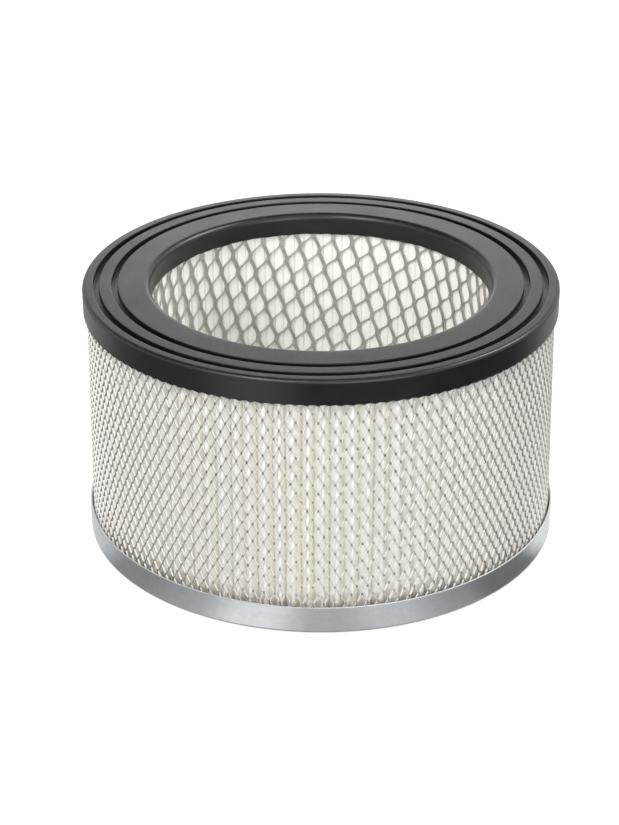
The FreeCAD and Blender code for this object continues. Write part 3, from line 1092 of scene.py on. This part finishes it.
class CARTRIDGE_OT_studio(bpy.types.Operator):
    """Set up the floor, the even white surroundings, the lamps and the camera"""
    bl_idname = "cartridge.studio"
    bl_label = "Studio"

    def execute(self, context):
        studio = context.scene.cartridge.studio
        self.white_world(context.scene, studio)
        self.pale_floor(context.scene, studio)
        for name, place, size, power, highlight in LAMPS:
            self.lamp(context.scene, name, place, size, getattr(studio, power), highlight)
        for card in CARDS:
            self.card(context.scene, *card)
        self.camera(context.scene, studio)
        context.scene.view_settings.view_transform = "Standard"
        return {"FINISHED"}

    def white_world(self, scene, studio):
        """White for the eye and for reflections, and a plain level of light for the rest."""
        world = bpy.data.worlds.new("white_surroundings")
        world.use_nodes = True
        scene.world = world
        tree = world.node_tree
        tree.nodes.clear()
        path = add_node(tree, "ShaderNodeLightPath", (0, 0))
        seen = add_math(tree, (1, 0), "MAXIMUM")
        shown = add_math(tree, (2, 0), "MAXIMUM")
        level = add_range(tree, (3, 0), (0.0, 1.0), (studio.sky, 1.0))
        sky = add_node(tree, "ShaderNodeBackground", (4, 0), sockets={"Color": (1, 1, 1, 1)})
        end = add_node(tree, "ShaderNodeOutputWorld", (5, 0))
        join(
            tree, (path, "Is Camera Ray", seen, 0), (path, "Is Glossy Ray", seen, 1),
            (seen, "Value", shown, 0), (path, "Is Transmission Ray", shown, 1),
            (shown, "Value", level, "Value"), (level, "Result", sky, "Strength"),
            (sky, "Background", end, "Surface"))

    def pale_floor(self, scene, studio):
        """Floor that is white to the eye apart from the filter's shadow."""
        mesh = bpy.data.meshes.new("floor")
        reach, drop = 5.0, -0.0001
        mesh.from_pydata([(-reach, -reach, drop), (reach, -reach, drop), (reach, reach, drop),
                          (-reach, reach, drop)], [], [(0, 1, 2, 3)])
        floor = bpy.data.objects.new("floor", mesh)
        scene.collection.objects.link(floor)
        material, tree, shader = new_finish("pale_floor")
        path = add_node(tree, "ShaderNodeLightPath", (2, 2))
        seen = add_math(tree, (3, 2), "MAXIMUM")
        glow = add_math(tree, (4, 2), "MULTIPLY", {1: FLOOR_GLOW})
        soft = add_math(tree, (2, 3), "MULTIPLY", {1: FLOOR_GLOW_REFLECTED})
        grain = place_group(tree, fine_grain, (0, 0), {"Density": 60.0, "Cloud Density": 3.0})
        shade = studio.floor_shade
        tint = add_mix(tree, (3, 0), {"A": opaque(shade, 0.98), "B": opaque(shade, 1.02)})
        join(
            tree, (grain, "Clouds", tint, "Factor"), (tint, "Result", shader, "Base Color"),
            (path, "Is Camera Ray", seen, 0), (path, "Is Glossy Ray", soft, 0), (soft, "Value", seen, 1),
            (seen, "Value", glow, 0), (glow, "Value", shader, "Emission Strength"))
        shader.inputs["Emission Color"].default_value = (1, 1, 1, 1)
        shader.inputs["Roughness"].default_value = 0.9
        shader.inputs["Specular IOR Level"].default_value = 0.0
        mesh.materials.append(material)

    def card(self, scene, name, radii, stops, height):
        """Grey card that only reflections see: part of a flat ring, shaded between its stops."""
        angles, levels = zip(*stops)
        turns = np.linspace(angles[0], angles[-1], CARD_STEPS + 1)
        greys = np.interp(turns, angles, levels)
        rings = [around(radius, np.radians(turns), height).tolist() for radius in radii]
        row = CARD_STEPS + 1
        faces = [(step, step + 1, step + row + 1, step + row) for step in range(CARD_STEPS)]
        mesh = bpy.data.meshes.new(name)
        mesh.from_pydata(rings[0] + rings[1], [], faces)
        shades = mesh.attributes.new("level", "FLOAT_COLOR", "POINT")
        for index, grey in enumerate([*greys, *greys]):
            shades.data[index].color = (grey, grey, grey, 1.0)
        card = bpy.data.objects.new(name, mesh)
        scene.collection.objects.link(card)
        material, tree, shader = new_finish(name)
        level = add_node(tree, "ShaderNodeAttribute", (4, 1), {"attribute_name": "level"})
        join(tree, (level, "Color", shader, "Emission Color"))
        shader.inputs["Base Color"].default_value = (0, 0, 0, 1)
        shader.inputs["Specular IOR Level"].default_value = 0.0
        shader.inputs["Emission Strength"].default_value = 1.0
        mesh.materials.append(material)
        card.visible_camera = False
        card.visible_diffuse = False
        card.visible_transmission = False
        card.visible_shadow = False

    def lamp(self, scene, name, place, size, power, highlight):
        """Large soft lamp that looks at the filter, with or without a highlight of its own."""
        data = bpy.data.lights.new(name, "AREA")
        data.shape = "DISK"
        data.size = size
        data.energy = power
        lamp = bpy.data.objects.new(name, data)
        lamp.location = place
        way = Vector((0, 0, cap_high.z / 2)) - lamp.location
        lamp.rotation_mode = "QUATERNION"
        lamp.rotation_quaternion = way.to_track_quat("-Z", "Y")
        lamp.visible_glossy = highlight
        scene.collection.objects.link(lamp)

    def camera(self, scene, studio):
        """Camera at the picture's viewing angle."""
        data = bpy.data.cameras.new("camera")
        camera = bpy.data.objects.new("camera", data)
        scene.collection.objects.link(camera)
        rise = studio.camera_height
        place = studio.camera_distance * Vector((0, -math.cos(rise), math.sin(rise)))
        ahead = (Vector(CAMERA_AIM) - place).normalized()
        right = ahead.cross(Vector((0, 0, 1))).normalized()
        up = right.cross(ahead)
        roll = studio.camera_roll
        across = math.cos(roll) * right + math.sin(roll) * up
        upward = -math.sin(roll) * right + math.cos(roll) * up
        turned_to = Matrix((across, upward, -ahead)).transposed()
        camera.matrix_world = Matrix.Translation(place) @ turned_to.to_4x4()
        data.sensor_width = 36.0
        data.lens = studio.focal_pixels / max(IMAGE_SIZE) * data.sensor_width
        data.clip_start = 0.01
        data.clip_end = 50.0
        scene.camera = camera


PIECE_OPERATORS = (
    CARTRIDGE_OT_seal_cap,
    CARTRIDGE_OT_outer_guard,
    CARTRIDGE_OT_pleats,
    CARTRIDGE_OT_inner_core,
    CARTRIDGE_OT_bottom_pan,
    CARTRIDGE_OT_adhesive_bed,
    CARTRIDGE_OT_studio,
)


class CARTRIDGE_PT_filter(bpy.types.Panel):
    """Settings and build buttons of the filter"""
    bl_idname = "CARTRIDGE_PT_filter"
    bl_label = "Cartridge Filter"
    bl_space_type = "VIEW_3D"
    bl_region_type = "UI"
    bl_category = "Filter"

    def draw(self, context):
        settings = context.scene.cartridge
        groups = ("cap", "guard", "pleats", "core", "pan", "bed", "studio")
        for operator, name in zip(PIECE_OPERATORS, groups):
            box = self.layout.box()
            box.operator(operator.bl_idname)
            group = getattr(settings, name)
            for key in group.__annotations__:
                box.prop(group, key)


CLASSES = (
    SealCapSettings,
    OuterGuardSettings,
    PleatSettings,
    InnerCoreSettings,
    BottomPanSettings,
    AdhesiveBedSettings,
    StudioSettings,
    FilterSettings,
    *PIECE_OPERATORS,
    CARTRIDGE_PT_filter,
)


def register():
    for item in CLASSES:
        bpy.utils.register_class(item)
    bpy.types.Scene.cartridge = bpy.props.PointerProperty(type=FilterSettings)


def unregister():
    del bpy.types.Scene.cartridge
    for item in reversed(CLASSES):
        bpy.utils.unregister_class(item)


def main():
    register()
    bpy.ops.cartridge.seal_cap()
    bpy.ops.cartridge.outer_guard()
    bpy.ops.cartridge.pleats()
    bpy.ops.cartridge.inner_core()
    bpy.ops.cartridge.bottom_pan()
    bpy.ops.cartridge.adhesive_bed()
    bpy.ops.cartridge.studio()


if __name__ == "__main__":
    main()
